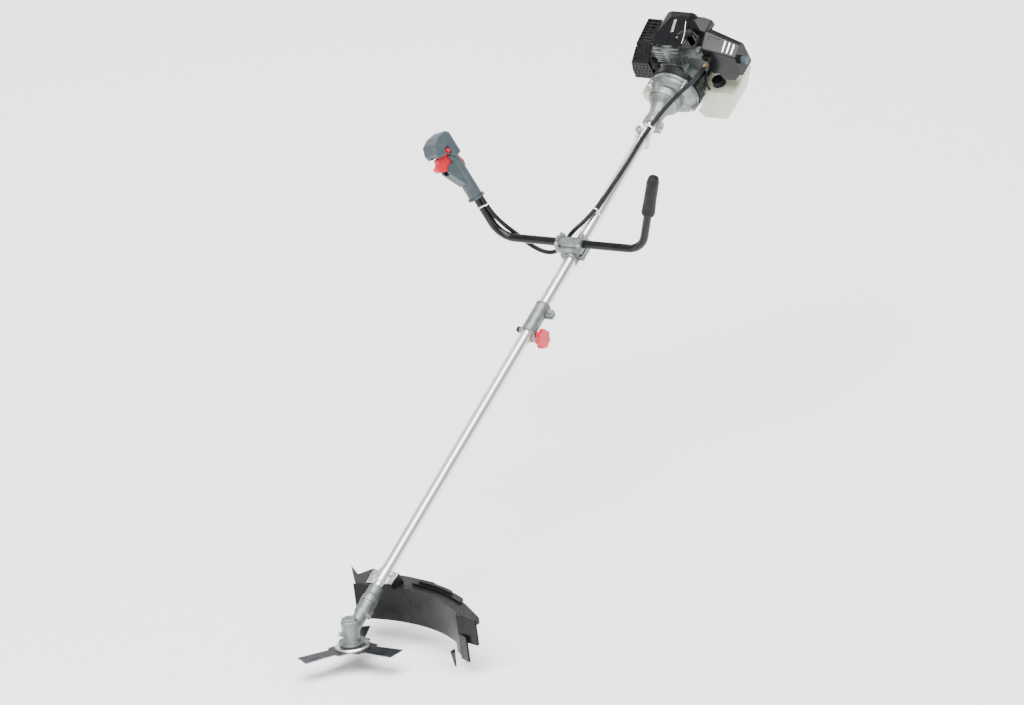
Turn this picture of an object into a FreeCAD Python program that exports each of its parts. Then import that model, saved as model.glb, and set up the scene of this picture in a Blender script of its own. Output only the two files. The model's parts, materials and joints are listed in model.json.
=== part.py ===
import FreeCAD, Part
import math
import os
from FreeCAD import Vector as V

# Petrol brush cutter, millimetres.
# Shaft frame used while modelling: x along the boom from the gear head to the engine,
# y to the operator's right, z square to the boom and upwards. The gear centre is its origin.
# The finished frame is turned about y so that the blade spindle is vertical, and its
# origin is the centre of the harness eye.

BOOM_RISE = 25.0            # angle between the boom and the blade plane, degrees
FIT = 0.05                  # radial running clearance

# boom
TUBE_R = 14.0
TUBE_BORE_R = 12.5
LOWER_TUBE_START = 66.0
LOWER_TUBE_END = 972.0
UPPER_TUBE_START = 975.0
UPPER_TUBE_END = 1625.0
SHAFT_R = 4.0
COUPLER_START = 932.0
COUPLER_END = 1017.0
COUPLER_R = 17.5
KNOB_STATION = 941.0
KNOB_DROP = -24.5
KNOB_R = 23.0
COUPLER_EAR_STATION = 1000.0

# gear head
NECK_END = 135.0
GEAR_CASE_R = 19.5
BLADE_R = 127.5
BLADE_THICKNESS = 2.0
BLADE_TOP = -35.0
BLADE_BORE_R = 12.7
BLADE_TURN = 25.0
TEETH = 3
COLLAR_R = 41.0
SPINDLE_R = 6.0
GEAR_RATIO = 1.36           # turns of the drive shaft for one turn of the blade
SHAFT_ANGLE = 90.0 - BOOM_RISE
PINION_CONE = math.degrees(math.atan2(math.sin(math.radians(SHAFT_ANGLE)),
                                      GEAR_RATIO + math.cos(math.radians(SHAFT_ANGLE))))
GEAR_CONE = SHAFT_ANGLE - PINION_CONE
CONE_NEAR = 11.5
CONE_FAR = 18.0

# guard
GUARD_R = 380.0
GUARD_CENTRE = (-222.0, 8.0)
GUARD_TOP = 50.0
GUARD_BOTTOM = -33.0
GUARD_WALL = 3.0
GUARD_LEFT_Y = 82.0
GUARD_RIGHT_Y = -262.0
CLAMP_STATION = 168.0

# handlebar
BAR_STATION = 1189.0
BAR_HEIGHT = 28.0
BAR_R = 9.5
BAR_BEND_R = 58.0
BAR_LEAN = 15.5             # lean of the arms from square to the boom, degrees
BAR_CORNER_Y = 190.0
ARM_SPREAD = 22.0           # outward lean of the arms, degrees
GRIP_RISE = 98.0            # height of the grips' feet above the bar, in its own plane
GRIP_LENGTH = 108.0
GRIP_R = 16.0

# harness eye
EYE_STATION = 1548.0
EYE_HEIGHT = 27.0
EYE_BORE_R = 5.0

# engine
CYLINDER_STATION = 1764.0
BORE_R = 21.0
DRUM_R = 35.0
CAP_Y = -84.0
FLANGE_R = 60.0
FLANGE_Y = -12.0           # the fan case bulges towards the air filter
FIN_COUNT = 6
FIN_PITCH = 7.2
STARTER_STATION = 1852.0


def rod(radius, start, end):
    """Solid round bar between two points."""
    step = end - start
    return Part.makeCylinder(radius, step.Length, start, step)


def ring(outer, inner, start, end, y=0.0, z=0.0):
    """Tube along the boom axis."""
    a = V(start, y, z)
    b = V(end, y, z)
    return rod(outer, a, b).cut(rod(inner, a, b))


def disc(outer, inner, bottom, top):
    """Ring round the vertical axis."""
    a = V(0, 0, bottom)
    b = V(0, 0, top)
    body = rod(outer, a, b)
    if inner > 0:
        body = body.cut(rod(inner, a, b))
    return body


def block(x0, x1, y0, y1, z0, z1):
    return Part.makeBox(x1 - x0, y1 - y0, z1 - z0, V(x0, y0, z0))


def rounded_face(points, radius, lift):
    """Face inside an outline of points whose corners are rounded; lift maps 2-D to 3-D."""
    corners = []
    count = len(points)
    for i in range(count):
        here = V(points[i][0], points[i][1], 0)
        back = (V(points[i - 1][0], points[i - 1][1], 0) - here)
        ahead_point = points[(i + 1) % count]
        ahead = (V(ahead_point[0], ahead_point[1], 0) - here)
        back.normalize()
        ahead.normalize()
        half = back.getAngle(ahead) / 2
        reach = radius / math.tan(half)
        middle = back + ahead
        middle.normalize()
        inner = here + middle * (radius / math.sin(half) - radius)
        corners.append((here + back * reach, inner, here + ahead * reach))
    edges = []
    for i in range(count):
        first, inner, last = corners[i]
        edges.append(Part.Arc(lift(first), lift(inner), lift(last)).toShape())
        following = corners[(i + 1) % count][0]
        if (following - last).Length > 1e-4:
            edges.append(Part.LineSegment(lift(last), lift(following)).toShape())
    return Part.Face(Part.Wire(edges))


def across(points, radius, y0, y1):
    """Prism with an outline in x and z, running from y0 to y1."""
    face = rounded_face(points, radius, lambda p: V(p.x, y0, p.y))
    return face.extrude(V(0, y1 - y0, 0))


def along(points, radius, x0, x1):
    """Prism with an outline in y and z, running from x0 to x1."""
    face = rounded_face(points, radius, lambda p: V(x0, p.x, p.y))
    return face.extrude(V(x1 - x0, 0, 0))


def upward(points, radius, z0, z1):
    """Prism with an outline in x and y, running from z0 to z1."""
    face = rounded_face(points, radius, lambda p: V(p.x, p.y, z0))
    return face.extrude(V(0, 0, z1 - z0))


def turned(profile, start, direction):
    """Solid of revolution from points (distance along, radius) on a straight axis."""
    first = profile[0][0]
    last = profile[-1][0]
    points = [V(first, 0, 0)]
    for station, radius in profile:
        points.append(V(station, radius, 0))
    points.append(V(last, 0, 0))
    points.append(points[0])
    solid = Part.Face(Part.makePolygon(points)).revolve(V(0, 0, 0), V(1, 0, 0), 360)
    turn = FreeCAD.Rotation(V(1, 0, 0), direction)
    solid.Placement = FreeCAD.Placement(start, turn)
    return solid


def joined(first, *others):
    body = first
    for other in others:
        body = body.fuse(other)
    return body.removeSplitter()


def cut_all(shape, tools):
    for tool in tools:
        shape = shape.cut(tool)
    return shape


def hex_bar(half_width, start, end):
    """Six-sided bar; half_width is measured to a flat."""
    axis = end - start
    points = []
    for i in range(7):
        angle = math.radians(60 * i)
        reach = half_width / math.cos(math.radians(30))
        points.append(V(reach * math.cos(angle), reach * math.sin(angle), 0))
    solid = Part.Face(Part.makePolygon(points)).extrude(V(0, 0, axis.Length))
    solid.Placement = FreeCAD.Placement(start, FreeCAD.Rotation(V(0, 0, 1), axis))
    return solid


def socket_screw(radius, head_end, tip):
    """Cap screw: the head stands back from head_end, the shank runs to tip."""
    axis = tip - head_end
    axis.normalize()
    head_r = radius * 1.65
    head = rod(head_r, head_end - axis * radius * 2, head_end)
    recess = hex_bar(radius * 0.8, head_end - axis * radius * 2, head_end - axis * radius * 0.8)
    return joined(head.cut(recess), rod(radius, head_end, tip))


def boom_to_upright():
    """Turn from the shaft frame to the frame whose z is the blade spindle."""
    return FreeCAD.Rotation(V(0, 1, 0), -BOOM_RISE)


def eye_centre():
    return boom_to_upright().multVec(V(EYE_STATION, 0, EYE_HEIGHT))


def save(name, shape, upright=False):
    """Move a finished node to the object's frame and write it."""
    body = shape.copy()
    turn = FreeCAD.Rotation() if upright else boom_to_upright()
    move = FreeCAD.Placement(eye_centre() * -1, turn)
    body.Placement = move.multiply(body.Placement)
    solids = [piece for piece in body.Solids]
    body = solids[0] if len(solids) == 1 else Part.makeCompound(solids)
    body.exportStep("parts/" + name + ".step")
    box = body.BoundBox
    state = "ok" if body.isValid() else "INVALID"
    print(f"{name:24s} {len(solids):3d} {body.Volume / 1000:9.1f} cm3  {state}"
          f"  {box.XMin:8.1f} {box.XMax:8.1f} {box.YMin:8.1f} {box.YMax:8.1f} {box.ZMin:8.1f} {box.ZMax:8.1f}")


# ---------------------------------------------------------------- gear head

def in_upright(shape):
    """Turn a piece modelled in the shaft frame about the gear centre to upright."""
    body = shape.copy()
    body.Placement = FreeCAD.Placement(V(0, 0, 0), boom_to_upright()).multiply(body.Placement)
    return body


def neck_solid():
    """Outside of the neck that holds the boom."""
    profile = [(12, 15.5), (50, 15.5), (58, 18.5), (84, 18.5), (84, 17.8), (87, 17.8), (87, 19.6),
               (104, 19.6), (109, 17.6), (NECK_END, 17.0)]
    outer = turned(profile, V(0, 0, 0), V(1, 0, 0))
    lug = across([(60, -22), (60, -12), (84, -12), (84, -22)], 2.0, -11, 11)
    return joined(outer, lug)


def gear_case():
    """Cast case: vertical gear chamber, sloping neck, slotted tube socket."""
    chamber = turned([(-20, 21), (-16, GEAR_CASE_R), (27, GEAR_CASE_R), (29, 17.5), (33, 17), (35, 14)],
                     V(0, 0, 0), V(0, 0, 1))
    skirt = disc(30, 0, -24, -19)
    plug_boss = rod(6, V(0, 0, -3), V(-9, 21.5, -3))
    body = joined(chamber, skirt, plug_boss, in_upright(neck_solid()))
    hollow = joined(disc(15, 0, -15.5, 24), disc(12, 0, -24, -14))
    shaft_way = in_upright(rod(9, V(10, 0, 0), V(44, 0, 0)))
    bearing_seat = in_upright(rod(11, V(44, 0, 0), V(LOWER_TUBE_START, 0, 0)))
    socket = in_upright(rod(TUBE_R, V(LOWER_TUBE_START, 0, 0), V(NECK_END + 1, 0, 0)))
    slot = in_upright(block(52, NECK_END + 1, -1, 1, -25, -10))
    return body.cut(hollow).cut(shaft_way).cut(bearing_seat).cut(socket).cut(slot)


def gear_head_screws():
    """Two pinch screws and the locating screw under the neck, and the grease plug."""
    screws = []
    for station in (66, 78):
        screws.append(in_upright(socket_screw(2.5, V(station, 11, -17.5), V(station, -11, -17.5))))
    plug = hex_bar(4.5, V(-9, 21.5, -3), V(-10.8, 26, -3))
    screws.append(plug)
    return screws


def gear_head_bearings():
    """Two spindle bearings and the pinion bearing, drawn as plain rings."""
    upper = disc(15, SPINDLE_R + FIT, 17, 24)
    lower = disc(12, SPINDLE_R + FIT, -23.5, -16)
    pinion = in_upright(ring(11, SHAFT_R + FIT, 48, 58))
    return [upper, lower, pinion]


def blade_spindle():
    """Vertical output shaft with its bevel gear and threaded end."""
    shaft = disc(SPINDLE_R, 0, -47, 23.5)
    shoulder = disc(BLADE_BORE_R - 0.3, 0, -37, -33.5)
    gear = turned(bevel_cone(GEAR_CONE, 2.0), V(0, 0, 0), V(0, 0, 1))
    return joined(shaft, shoulder, gear)


def bevel_cone(half_angle, hub):
    """Toothed band of a bevel gear drawn as its pitch cone, from the apex outwards."""
    a = math.radians(half_angle - 0.6)
    near = V(CONE_NEAR * math.cos(a), CONE_NEAR * math.sin(a), 0)
    far = V(CONE_FAR * math.cos(a), CONE_FAR * math.sin(a), 0)
    return [(near.x, near.y), (far.x, far.y), (far.x + hub, far.y - hub)]


def clamp_collar():
    """Upper clamping cup on the spindle, above the blade."""
    cup = turned([(-35, COLLAR_R), (-31, COLLAR_R), (-28.5, 38), (-28, 24), (-24.6, 22)],
                 V(0, 0, 0), V(0, 0, 1))
    return cup.cut(disc(SPINDLE_R, 0, -36, -24)).cut(disc(BLADE_BORE_R, 0, -35, -33.4))


def blade():
    """Three-tooth steel blade with curved roots between its teeth."""
    top = BLADE_TOP
    bottom = BLADE_TOP - BLADE_THICKNESS
    body = disc(56, 0, bottom, top)
    half_root = 20.0
    half_tip = 24.5
    reach = math.sqrt(BLADE_R ** 2 - half_tip ** 2)
    for i in range(TEETH):
        tooth = upward([(20, -half_root), (reach, -half_tip), (reach, half_tip), (20, half_root)],
                       1.0, bottom, top)
        tooth.rotate(V(0, 0, 0), V(0, 0, 1), BLADE_TURN + i * 360 / TEETH)
        body = body.fuse(tooth)
    for i in range(TEETH):
        hollow = rod(30, V(74, 0, bottom - 1), V(74, 0, top + 1))
        hollow.rotate(V(0, 0, 0), V(0, 0, 1), BLADE_TURN + (i + 0.5) * 360 / TEETH)
        body = body.cut(hollow)
    return body.removeSplitter().cut(disc(BLADE_BORE_R, 0, bottom - 1, top + 1))


def blade_flange():
    """Lower clamping washer and its cover cup."""
    cup = turned([(-43, 18), (-40, 27), (-37, 29)], V(0, 0, 0), V(0, 0, 1))
    return cup.cut(disc(SPINDLE_R, 0, -44, -36))


def blade_nut():
    return hex_bar(9.5, V(0, 0, -52), V(0, 0, -43)).cut(disc(SPINDLE_R, 0, -47, -42))


def lower_drive_shaft():
    """Solid shaft inside the lower tube: bevel pinion at one end, square at the other."""
    pinion = turned(bevel_cone(PINION_CONE, 2.0), V(0, 0, 0), V(1, 0, 0))
    shaft = rod(SHAFT_R, V(pinion.BoundBox.XMax - 1, 0, 0), V(945, 0, 0))
    square = block(945, 985, -2.8, 2.8, -2.8, 2.8)
    return joined(shaft, square, pinion)


def in_shaft(shape):
    """Turn an upright piece about the gear centre back to the shaft frame."""
    body = shape.copy()
    back = boom_to_upright().inverted()
    body.Placement = FreeCAD.Placement(V(0, 0, 0), back).multiply(body.Placement)
    return body


# ------------------------------------------------------------------- guard

def guard_arc_x(y, radius):
    return GUARD_CENTRE[0] + math.sqrt(radius ** 2 - (y - GUARD_CENTRE[1]) ** 2)


def curved_wall(radius, thickness, y_left, y_right, z0, z1):
    """Vertical wall along an arc about the guard's own centre."""
    cx, cy = GUARD_CENTRE
    outer = Part.makeCylinder(radius + thickness, z1 - z0, V(cx, cy, z0))
    inner = Part.makeCylinder(radius, z1 - z0, V(cx, cy, z0))
    window = block(cx + 150, cx + 600, y_right, y_left, z0, z1)
    return outer.cut(inner).common(window)


def guard_outline():
    """Outline of the roof: along the wall, widest at the boom, two pointed lugs at its right end."""
    return [(160, 82), (250, 150), (207, 104), (244, 88), (226, 30), (222, -20), (205, -98),
            (158, -174), (102, -251), (40, -324), (20, -322), (40, -276), (80, -222),
            (124, -150), (150, -70), (157, 8)]


def guard_roof_face(height):
    edges = [V(x, y, height) for x, y in guard_outline()]
    edges.append(edges[0])
    return Part.Face(Part.makePolygon(edges))


def guard_deck():
    return guard_roof_face(GUARD_TOP - GUARD_WALL).extrude(V(0, 0, GUARD_WALL))


def guard_rim():
    """Lip turned down round the rear of the roof."""
    face = guard_roof_face(GUARD_TOP - 14)
    lip = face.cut(face.makeOffset2D(-GUARD_WALL)).extrude(V(0, 0, 14))
    rear = [V(x + 3, y, GUARD_TOP - 14) for x, y in ((180, 140), (300, 160), (300, -320), (24, -340),
                                                     (28, -300), (150, -165), (190, -60), (190, 90))]
    rear.append(rear[0])
    return lip.common(Part.Face(Part.makePolygon(rear)).extrude(V(0, 0, 14)))


def guard():
    """Moulded debris guard: curved wall, roof, end cap, two ribs and a saddle for the boom."""
    wall = curved_wall(GUARD_R, GUARD_WALL, GUARD_LEFT_Y, GUARD_RIGHT_Y, GUARD_BOTTOM, GUARD_TOP)
    foot = curved_wall(GUARD_R, GUARD_WALL, -229, GUARD_RIGHT_Y, -55, GUARD_BOTTOM + 1)
    end_x = guard_arc_x(GUARD_RIGHT_Y, GUARD_R)
    cap_line = [V(end_x - 3, GUARD_RIGHT_Y + 2, -55), V(end_x + 2, GUARD_RIGHT_Y + 4, -55),
                V(30, -292, -55), V(25, -290, -55)]
    cap_line.append(cap_line[0])
    foot_cap = Part.Face(Part.makePolygon(cap_line)).extrude(V(0, 0, 60))
    cap = [V(end_x - 3, GUARD_RIGHT_Y + 2, -12), V(end_x + 2, GUARD_RIGHT_Y + 4, -12),
           V(30, -322, -12), V(24, -320, -12)]
    cap.append(cap[0])
    end_cap = Part.Face(Part.makePolygon(cap)).extrude(V(0, 0, GUARD_TOP + 11))
    deck = guard_deck()
    rim = guard_rim()
    rib_low = curved_wall(GUARD_R + 22, 16, -62, -232, GUARD_TOP - 1, GUARD_TOP + 6)
    rib_high = curved_wall(GUARD_R + 26, 9, -80, -190, GUARD_TOP + 5, GUARD_TOP + 12)
    saddle = in_upright(block(148, 188, -33, 33, -34, -0.6))
    slab = block(100, 260, -40, 40, GUARD_TOP - 1, 130)
    saddle = saddle.common(slab)
    body = joined(wall, foot, foot_cap, end_cap, deck, rim, rib_low, rib_high, saddle)
    return body.cut(in_upright(rod(TUBE_R, V(100, 0, 0), V(300, 0, 0))))


def guard_clamp():
    """Steel saddle plate over the boom, screwed down to the guard."""
    shell = rod(TUBE_R + 3, V(150, 0, 0), V(186, 0, 0)).common(block(150, 186, -20, 20, 0.6, 30))
    ears = block(150, 186, -33, 33, 0, 3.6).common(block(150, 186, -33, 33, 0.6, 3.6))
    tube = rod(TUBE_R, V(140, 0, 0), V(196, 0, 0))
    return joined(shell, ears).cut(tube)


def guard_screws():
    screws = []
    for y in (-25, 25):
        screws.append(socket_screw(3, V(CLAMP_STATION, y, 3.6), V(CLAMP_STATION, y, -16)))
    return screws


def line_knife():
    """Steel blade under the guard's end that trims nylon line."""
    outline = [V(66, -229, -44), V(66, -229, -50), V(64, -229, -83), V(60, -229, -84), V(50, -229, -50),
               V(50, -229, -44)]
    outline.append(outline[0])
    blade_part = Part.Face(Part.makePolygon(outline)).extrude(V(0, 2, 0))
    return blade_part


# ------------------------------------------------------------------- boom

def lower_tube():
    return ring(TUBE_R - FIT, TUBE_BORE_R, LOWER_TUBE_START, LOWER_TUBE_END)


def upper_tube():
    return ring(TUBE_R, TUBE_BORE_R, UPPER_TUBE_START, UPPER_TUBE_END)


def boom_coupler():
    """Split sleeve: pinned to the upper tube, clamped round the lower one by the knob screw."""
    sleeve = turned([(COUPLER_START, COUPLER_R + 1.2), (COUPLER_START + 4, COUPLER_R + 1.2),
                     (COUPLER_START + 5, COUPLER_R), (COUPLER_END - 5, COUPLER_R),
                     (COUPLER_END - 4, COUPLER_R + 1.2), (COUPLER_END, COUPLER_R + 1.2)],
                    V(0, 0, 0), V(1, 0, 0))
    knob_ears = across([(933, -33), (933, -10), (950, -10), (950, -33)], 3.0, -15, 15)
    side_ear = upward([(991, -33), (991, -10), (1009, -10), (1009, -33)], 3.0, -14, 0)
    latch_boss = rod(6.5, V(KNOB_STATION, 14, 0), V(KNOB_STATION, 24, 0))
    body = joined(sleeve, knob_ears, side_ear, latch_boss)
    body = body.cut(rod(TUBE_R, V(COUPLER_START - 1, 0, 0), V(COUPLER_END + 1, 0, 0)))
    body = body.cut(block(COUPLER_START - 1, 968, -1.5, 1.5, -40, -8))
    body = body.cut(block(985, COUPLER_END + 1, -40, -8, -8.2, -5.8))
    body = body.cut(rod(4 + FIT, V(KNOB_STATION, -20, KNOB_DROP), V(KNOB_STATION, 20, KNOB_DROP)))
    return body.cut(rod(3 + FIT, V(KNOB_STATION, 10, 0), V(KNOB_STATION, 30, 0)))


def coupler_screw():
    x = COUPLER_EAR_STATION
    return socket_screw(2.5, V(x, -26, 0), V(x, -26, -14))


def latch_pin():
    """Pull-out latch button on the coupler's right side."""
    pin = rod(3, V(KNOB_STATION, TUBE_R + 0.3, 0), V(KNOB_STATION, 25, 0))
    cap = turned([(0, 7), (4, 7.5), (7, 5)], V(KNOB_STATION, 24.3, 0), V(0, 1, 0))
    return joined(pin, cap)


def coupler_knob():
    """Lobed hand knob on the clamping screw."""
    y_face = -15.6
    thickness = 17.0
    hub = rod(11, V(KNOB_STATION, y_face, KNOB_DROP), V(KNOB_STATION, y_face - 6, KNOB_DROP))
    wheel = rod(KNOB_R - 2, V(KNOB_STATION, y_face - 5, KNOB_DROP),
                V(KNOB_STATION, y_face - thickness, KNOB_DROP))
    body = wheel
    for i in range(7):
        angle = 2 * math.pi * i / 7
        lobe_at = V(KNOB_STATION + 15.5 * math.cos(angle), 0, KNOB_DROP + 15.5 * math.sin(angle))
        lobe = rod(7.5, lobe_at + V(0, y_face - 5, 0), lobe_at + V(0, y_face - thickness, 0))
        body = body.fuse(lobe)
        gap = V(KNOB_STATION + 26 * math.cos(angle + math.pi / 7), 0,
                KNOB_DROP + 26 * math.sin(angle + math.pi / 7))
        body = body.cut(rod(6.5, gap + V(0, y_face, 0), gap + V(0, y_face - 30, 0)))
    screw = rod(4, V(KNOB_STATION, y_face - 3, KNOB_DROP), V(KNOB_STATION, 17, KNOB_DROP))
    nut = hex_bar(6.5, V(KNOB_STATION, 15.3, KNOB_DROP), V(KNOB_STATION, 21, KNOB_DROP))
    return joined(body, hub, screw, nut)


def upper_drive_shaft():
    """Shaft inside the upper tube with a square socket, carrying the clutch drum."""
    shaft = rod(SHAFT_R, V(988, 0, 0), V(1662, 0, 0))
    socket = rod(7, V(948, 0, 0), V(996, 0, 0)).cut(block(946, 989, -2.9, 2.9, -2.9, 2.9))
    drum = rod(DRUM_R, V(1660, 0, 0), V(1690, 0, 0)).cut(rod(DRUM_R - 2.5, V(1664, 0, 0), V(1691, 0, 0)))
    hub = rod(8, V(1632, 0, 0), V(1662, 0, 0))
    return joined(shaft, socket, drum, hub)


def harness_hanger():
    """Clamp band with the eye that the harness hook goes through."""
    band = ring(TUBE_R + 3, TUBE_R, EYE_STATION - 9, EYE_STATION + 9)
    eye = across([(EYE_STATION - 9, 12), (EYE_STATION - 9, 37), (EYE_STATION + 9, 37), (EYE_STATION + 9, 12)],
                 6.0, -2.5, 2.5)
    foot = block(EYE_STATION - 9, EYE_STATION + 9, -7, 7, -26, -13)
    body = joined(band, eye, foot).cut(rod(TUBE_R, V(EYE_STATION - 20, 0, 0), V(EYE_STATION + 20, 0, 0)))
    body = body.cut(rod(EYE_BORE_R, V(EYE_STATION, -10, EYE_HEIGHT), V(EYE_STATION, 10, EYE_HEIGHT)))
    return body.cut(block(EYE_STATION - 20, EYE_STATION + 20, -1, 1, -30, -13))


def hanger_screw():
    return socket_screw(2.5, V(EYE_STATION, 7, -21), V(EYE_STATION, -7, -21))


# --------------------------------------------------------------- handlebar

def bar_point(y, height, forward=0.0):
    """Point in the plane of the handlebar: across, and up the leaning arms."""
    lean = math.radians(BAR_LEAN)
    return V(BAR_STATION + height * math.sin(lean) - forward * math.cos(lean), y,
             BAR_HEIGHT + height * math.cos(lean) + forward * math.sin(lean))


def grip_foot(side):
    """Where the grip or handle begins on an arm."""
    y = BAR_CORNER_Y + GRIP_RISE * math.tan(math.radians(ARM_SPREAD))
    return bar_point(side * y, GRIP_RISE)


def arm_direction(side):
    spread = math.radians(ARM_SPREAD)
    step = bar_point(side * math.sin(spread), math.cos(spread)) - bar_point(0, 0)
    step.normalize()
    return step


def handlebar_line():
    """Wire of the bar's centre line: straight middle, two bends, two leaning arms."""
    bend = math.radians(90 - ARM_SPREAD)
    reach = BAR_BEND_R * math.tan(bend / 2)
    top = {-1: 196.0, 1: 181.0}
    edges = []
    arms = {}
    for side in (-1, 1):
        corner = bar_point(side * BAR_CORNER_Y, 0)
        direction = arm_direction(side)
        on_bar = corner - V(0, side * reach, 0)
        on_arm = corner + direction * reach
        inward = V(0, -side, 0) + direction
        inward.normalize()
        depth = BAR_BEND_R / math.cos(bend / 2) - BAR_BEND_R
        arc = Part.Arc(on_bar, corner + inward * depth, on_arm).toShape()
        end = corner + direction * top[side]
        arms[side] = (on_bar, arc, on_arm, end)
    left = arms[-1]
    right = arms[1]
    edges.append(Part.LineSegment(left[3], left[2]).toShape())
    edges.append(left[1])
    edges.append(Part.LineSegment(left[0], right[0]).toShape())
    edges.append(right[1])
    edges.append(Part.LineSegment(right[2], right[3]).toShape())
    return Part.Wire(Part.__sortEdges__(edges)), left[3], right[3]


def swept(wire, start, direction, outer, inner=0.0):
    """Round tube along a wire of straight runs and tangent arcs."""
    ring_out = Part.Wire(Part.makeCircle(outer, start, direction))
    body = wire.makePipeShell([ring_out], True, True)
    if inner > 0:
        ring_in = Part.Wire(Part.makeCircle(inner, start, direction))
        core = wire.makePipeShell([ring_in], True, True)
        body = body.cut(core)
    return body


def handlebar_tube():
    wire, left_end, right_end = handlebar_line()
    return swept(wire, left_end, arm_direction(-1) * -1, BAR_R, BAR_R - 1.6)


def plain_grip():
    """Closed rubber sleeve on the left arm, thicker at its foot."""
    foot = grip_foot(-1)
    direction = arm_direction(-1)
    sleeve = turned([(0, 15), (4, GRIP_R), (40, 14.5), (92, 14.5), (104, 12), (GRIP_LENGTH, 7)],
                    foot, direction)
    return sleeve


def clamp_base():
    """Aluminium block between boom and bar, with the upper half of both clamps."""
    saddle = across([(BAR_STATION - 22, 2), (BAR_STATION - 22, 20), (BAR_STATION - 19, BAR_HEIGHT - 0.5),
                     (BAR_STATION + 19, BAR_HEIGHT - 0.5), (BAR_STATION + 22, 20), (BAR_STATION + 22, 2)],
                    2.0, -34, 34)
    waist = block(BAR_STATION - 30, BAR_STATION + 30, -40, -23, -5, 17)
    other = block(BAR_STATION - 30, BAR_STATION + 30, 23, 40, -5, 17)
    collar = rod(TUBE_R + 5, V(BAR_STATION - 28, 0, 0), V(BAR_STATION + 26, 0, 0))
    ears = block(BAR_STATION - 20, BAR_STATION + 20, -29, 29, 0.5, 7)
    collar = joined(collar, ears).common(block(BAR_STATION - 30, BAR_STATION + 30, -40, 40, 0.5, 40))
    body = joined(saddle.cut(waist).cut(other), collar)
    body = body.cut(rod(BAR_R, V(BAR_STATION, -50, BAR_HEIGHT), V(BAR_STATION, 50, BAR_HEIGHT)))
    return body.cut(rod(TUBE_R, V(BAR_STATION - 50, 0, 0), V(BAR_STATION + 50, 0, 0)))


def clamp_cap():
    """Cap over the bar with a flange at each end."""
    barrel = rod(BAR_R + 4, V(BAR_STATION, -34, BAR_HEIGHT), V(BAR_STATION, 34, BAR_HEIGHT))
    flanges = []
    for y in (-34, 24):
        outline = [(-20, 0.5), (-20, 9), (-10, 9), (-7, 16), (7, 16), (10, 9), (20, 9), (20, 0.5)]
        outline = [(BAR_STATION + x, BAR_HEIGHT + z) for x, z in outline]
        flanges.append(across(outline, 1.0, y, y + 10))
    body = joined(barrel, flanges[0], flanges[1])
    body = body.common(block(BAR_STATION - 30, BAR_STATION + 30, -40, 40, BAR_HEIGHT + 0.5, 80))
    return body.cut(rod(BAR_R, V(BAR_STATION, -50, BAR_HEIGHT), V(BAR_STATION, 50, BAR_HEIGHT)))


def clamp_strap():
    """Lower half of the boom clamp, under the tube."""
    collar = rod(TUBE_R + 4, V(BAR_STATION - 28, 0, 0), V(BAR_STATION + 26, 0, 0))
    ears = block(BAR_STATION - 20, BAR_STATION + 20, -29, 29, -6, -0.5)
    body = joined(collar, ears).common(block(BAR_STATION - 30, BAR_STATION + 30, -40, 40, -30, -0.5))
    return body.cut(rod(TUBE_R, V(BAR_STATION - 50, 0, 0), V(BAR_STATION + 50, 0, 0)))


def handlebar_screws():
    screws = []
    for side in (-1, 1):
        for step in (-14.5, 14.5):
            x = BAR_STATION + step
            screws.append(socket_screw(2.5, V(x, side * 29, BAR_HEIGHT + 9), V(x, side * 29, 19)))
        for step in (-12, 12):
            x = BAR_STATION + step
            screws.append(socket_screw(2.5, V(x, side * 23.5, -6), V(x, side * 23.5, 6)))
    return screws


# ---------------------------------------------------------- throttle handle

def handle_frame():
    """Foot of the handle, its axis, its forward direction and its inner side."""
    foot = grip_foot(1)
    up = arm_direction(1)
    forward = V(-1, 0, 0)
    forward = forward - up * forward.dot(up)
    forward.normalize()
    side = up.cross(forward)
    return foot, up, forward, side


def handle_point(forward_mm, up_mm, side_mm=0.0):
    foot, up, forward, side = handle_frame()
    return foot + forward * forward_mm + up * up_mm + side * side_mm


def handle_prism(points, radius, side0, side1):
    """Prism with an outline in forward and up, between two planes beside the handle."""
    foot, up, forward, side = handle_frame()
    face = rounded_face(points, radius, lambda p: handle_point(p.x, p.y, side0))
    return face.extrude(side * (side1 - side0))


def handle_box(f0, f1, u0, u1, s0, s1):
    return handle_prism([(f0, u0), (f0, u1), (f1, u1), (f1, u0)], 0.4, s0, s1)


def handle_body():
    """Whole throttle handle before it is parted: round grip, hooded head, foot flange."""
    grip = rod(16.5, handle_point(0, 3), handle_point(0, 120))
    flange = rod(20.5, handle_point(0, 0), handle_point(0, 4))
    swell = handle_prism([(-10, 40), (14, 40), (34, 76), (42, 92), (30, 104), (-10, 104)], 5.0, -13, 13)
    head = handle_prism([(-17, 112), (-17, 164), (-8, 173), (20, 174), (44, 166), (52, 146),
                         (48, 133), (16, 128), (4, 108)], 4.0, -21, 21)
    side = handle_frame()[3]
    rim = []
    for edge in head.Edges:
        middle = edge.valueAt((edge.FirstParameter + edge.LastParameter) / 2)
        offset = abs(abs((middle - handle_point(0, 0)).dot(side)) - 21)
        if offset < 0.01:
            rim.append(edge)
    head = head.makeFillet(3.5, rim)
    return joined(grip, flange, swell, head)


def handle_cavities():
    """Space for the bar, trigger, lock-out lever and stop switch."""
    bar = rod(BAR_R, handle_point(0, -5), handle_point(0, 78))
    trigger_room = handle_prism([(-6, 84), (-6, 134), (20, 140), (46, 138), (75, 138), (75, 84)],
                                1.0, -7.5, 7.5)
    lockout_room = handle_box(-30, -6.5, 70, 110, -5, 5)
    switch_room = handle_box(9, 23, 125, 143, 16, 30)
    return [bar, trigger_room, lockout_room, switch_room]


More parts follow.
